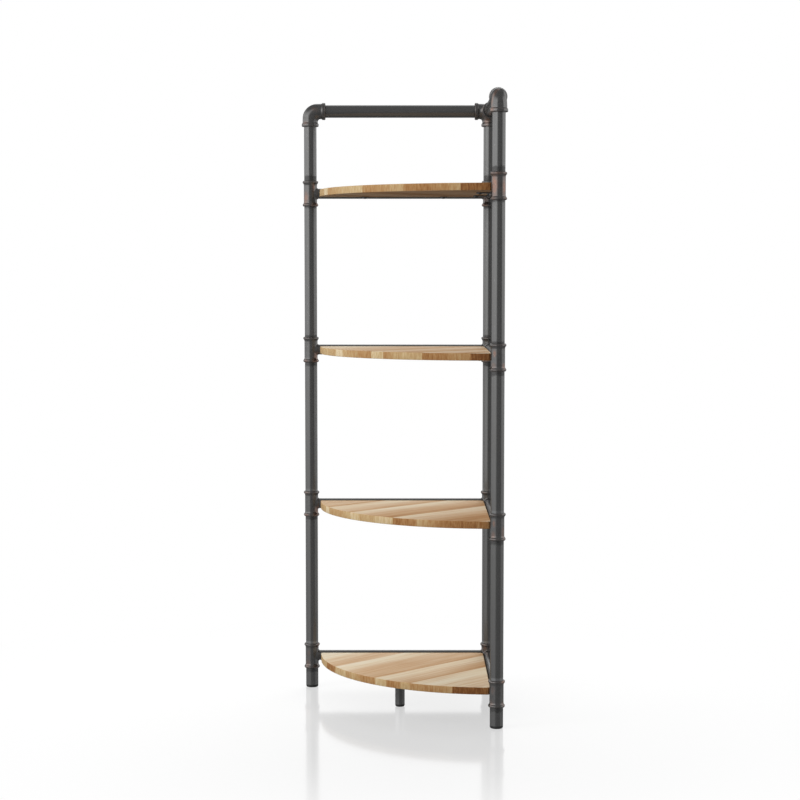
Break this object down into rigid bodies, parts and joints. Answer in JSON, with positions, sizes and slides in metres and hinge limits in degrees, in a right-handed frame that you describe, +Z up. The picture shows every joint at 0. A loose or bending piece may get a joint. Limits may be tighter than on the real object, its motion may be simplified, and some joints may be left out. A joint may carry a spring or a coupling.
{
  "type": "corner shelf unit",
  "caption": "Open corner shelf unit: quarter-round wooden boards on rails between dark pipe posts, joined by cast tees and elbows, with a short leg under the lowest board.",
  "frame": {"origin": "on the floor, midway between the end posts and the corner post along both walls, under the middle of the centre leg", "axes": "+Z up; the back wall runs along X on the +Y side and the side wall along Y on the +X side, so the room's corner is at +X +Y and the boards' round edges face -X -Y"},
  "size_m": [0.5064, 0.5064, 1.5237],
  "materials": {
    "pipe": "satin gunmetal",
    "fitting": "dark cast surface with reddish brown rubbed edges",
    "wood": "clear oiled, edge-glued strips of light and brown wood",
    "cap": "matt black"
  },
  "bodies": {
    "root": {"left_foot_cap": "cap", "left_foot_pipe": "pipe", "left_pipe_1": "pipe", "left_pipe_2": "pipe", "left_pipe_3": "pipe", "left_top_pipe": "pipe", "left_tee_1": "fitting", "left_tee_2": "fitting", "left_tee_3": "fitting", "left_tee_4": "fitting", "left_elbow": "fitting", "corner_foot_cap": "cap", "corner_foot_pipe": "pipe", "corner_pipe_1": "pipe", "corner_pipe_2": "pipe", "corner_pipe_3": "pipe", "corner_top_pipe": "pipe", "corner_tee_1": "fitting", "corner_tee_2": "fitting", "corner_tee_3": "fitting", "corner_tee_4": "fitting", "corner_elbow": "fitting", "right_foot_cap": "cap", "right_foot_pipe": "pipe", "right_pipe_1": "pipe", "right_pipe_2": "pipe", "right_pipe_3": "pipe", "right_top_pipe": "pipe", "right_tee_1": "fitting", "right_tee_2": "fitting", "right_tee_3": "fitting", "right_tee_4": "fitting", "right_elbow": "fitting", "back_rail_1": "pipe", "back_rail_2": "pipe", "back_rail_3": "pipe", "back_rail_4": "pipe", "back_top_rail": "pipe", "side_rail_1": "pipe", "side_rail_2": "pipe", "side_rail_3": "pipe", "side_rail_4": "pipe", "side_top_rail": "pipe", "board_1": "wood", "board_2": "wood", "board_3": "wood", "board_4": "wood", "centre_leg": "pipe", "centre_leg_cap": "cap"}
  },
  "joints": []
}
